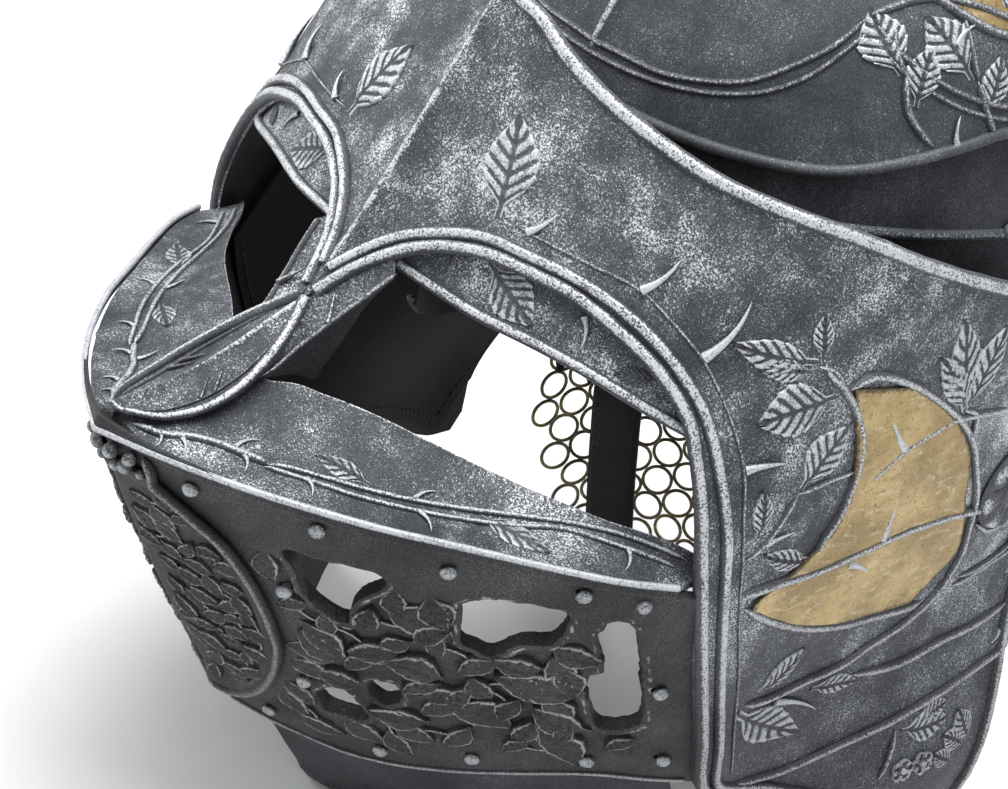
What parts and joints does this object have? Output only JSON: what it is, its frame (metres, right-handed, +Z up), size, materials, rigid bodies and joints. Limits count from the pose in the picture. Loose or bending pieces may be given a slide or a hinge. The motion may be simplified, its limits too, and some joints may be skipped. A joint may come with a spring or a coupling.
{
  "type": "knight helmet",
  "caption": "Close helmet with a beaked visor that lifts on side pivots, pierced breath plate, vine ornament, laminated skull and a mail neck curtain.",
  "frame": {"origin": "middle of the helmet's length and width, on the plane that it stands on", "axes": "+Z up, the face looks along -Y, +X is the wearer's left"},
  "size_m": [0.2586, 0.3501, 0.328],
  "materials": {
    "blackened_steel": "gun-metal grey, dry-brushed silver on every raised edge, speckled",
    "skull_steel": "gun-metal grey, dry-brushed silver",
    "lame_steel": "darker gun-metal, lightly brushed",
    "breath_steel": "warm black with light edge highlights",
    "rivet_steel": "dull silver-grey, pitted",
    "bright_rim": "bright silver-white with black pits",
    "gilt": "muted old gold, dark pits and pale streaks",
    "brown_leather": "dark brown leather",
    "rosette_steel": "silver-grey, dark in the recesses",
    "pivot_steel": "blackened, worn bright on the edges",
    "liner_cloth": "quilted linen, dark brown",
    "black_leather": "black leather",
    "mail_brass": "olive brass rings"
  },
  "bodies": {
    "skull": {"head_liner": "liner_cloth", "mail_curtain": "mail_brass", "mail_hanger_band": "black_leather", "neck_strap_left": "black_leather", "neck_strap_right": "black_leather", "pivot_bolt_left": "pivot_steel", "pivot_bolt_right": "pivot_steel", "pivot_nut_left": "pivot_steel", "pivot_nut_right": "pivot_steel", "pivot_spacer_left": "pivot_steel", "pivot_spacer_right": "pivot_steel", "pivot_washer_left": "pivot_steel", "pivot_washer_right": "pivot_steel", "skull_bowl": "skull_steel", "skull_lame_lower": "lame_steel", "skull_lame_upper": "lame_steel", "skull_rivet_front_left": "rivet_steel", "skull_rivet_front_right": "rivet_steel", "skull_rivet_rear_left": "rivet_steel", "skull_rivet_rear_right": "rivet_steel"},
    "visor": {"beak_ridge": "bright_rim", "breath_plate": "breath_steel", "breath_rivet_01_left": "rivet_steel", "breath_rivet_01_right": "rivet_steel", "breath_rivet_02_left": "rivet_steel", "breath_rivet_02_right": "rivet_steel", "breath_rivet_03_left": "rivet_steel", "breath_rivet_03_right": "rivet_steel", "breath_rivet_04_left": "rivet_steel", "breath_rivet_04_right": "rivet_steel", "breath_rivet_05_left": "rivet_steel", "breath_rivet_05_right": "rivet_steel", "breath_rivet_06_left": "rivet_steel", "breath_rivet_06_right": "rivet_steel", "breath_rivet_07_left": "rivet_steel", "breath_rivet_07_right": "rivet_steel", "breath_rivet_08_left": "rivet_steel", "breath_rivet_08_right": "rivet_steel", "breath_rivet_09_left": "rivet_steel", "breath_rivet_09_right": "rivet_steel", "breath_rivet_10_left": "rivet_steel", "breath_rivet_10_right": "rivet_steel", "breath_rivet_11_left": "rivet_steel", "breath_rivet_11_right": "rivet_steel", "breath_rivet_12_left": "rivet_steel", "breath_rivet_12_right": "rivet_steel", "cheek_shelf_left": "blackened_steel", "cheek_shelf_right": "blackened_steel", "chin_lame": "breath_steel", "eyelid_left": "blackened_steel", "eyelid_right": "blackened_steel", "gilt_inlay_left": "gilt", "gilt_inlay_right": "gilt", "medial_panel": "breath_steel", "nasal_guard": "blackened_steel", "pivot_rosette_left": "rosette_steel", "pivot_rosette_right": "rosette_steel", "visor_mask": "blackened_steel", "wing_lining_left": "brown_leather", "wing_lining_right": "brown_leather"}
  },
  "joints": [
    {"name": "visor_lift", "type": "hinge", "parent": "skull", "child": "visor", "pos_m": [0, 0.07145, 0.162], "axis": [-1, 0, 0], "range_deg": [0, 50]}
  ]
}
